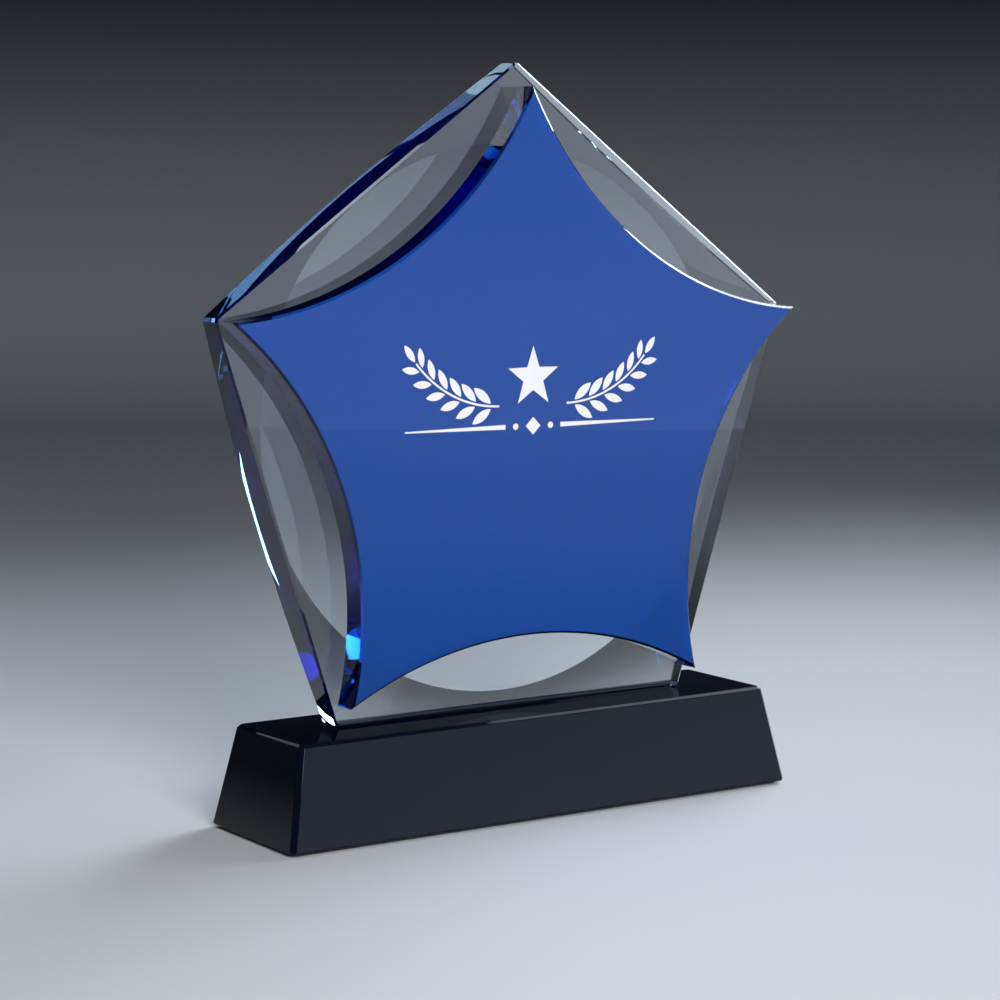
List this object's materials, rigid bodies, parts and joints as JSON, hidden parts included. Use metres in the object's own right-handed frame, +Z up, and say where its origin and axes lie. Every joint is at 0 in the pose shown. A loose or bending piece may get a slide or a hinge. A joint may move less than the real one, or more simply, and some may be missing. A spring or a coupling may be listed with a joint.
{
  "type": "star trophy",
  "caption": "Free-standing award: a blue crystal star bonded to a clear crystal pentagon on a black crystal block, with a white engraved laurel ornament.",
  "frame": {"origin": "centre of the underside of the pad, on the table", "axes": "+Z up, +X along the base towards the right of a person facing the star, -Y out of the star's front face"},
  "size_m": [0.2258, 0.0536, 0.2493],
  "materials": {
    "black_crystal": "polished",
    "felt_pad": "soft felt",
    "clear_adhesive": "clear cured resin",
    "clear_crystal": "polished",
    "blue_crystal": "polished",
    "white_fill": "matt paint fill"
  },
  "bodies": {
    "root": {"base_block": "black_crystal", "base_pad": "felt_pad", "foot_bond": "clear_adhesive", "clear_pentagon": "clear_crystal", "star_bond": "clear_adhesive", "blue_star": "blue_crystal", "emblem_star": "white_fill", "laurel_left": "white_fill", "laurel_right": "white_fill", "emblem_rule": "white_fill"}
  },
  "joints": []
}
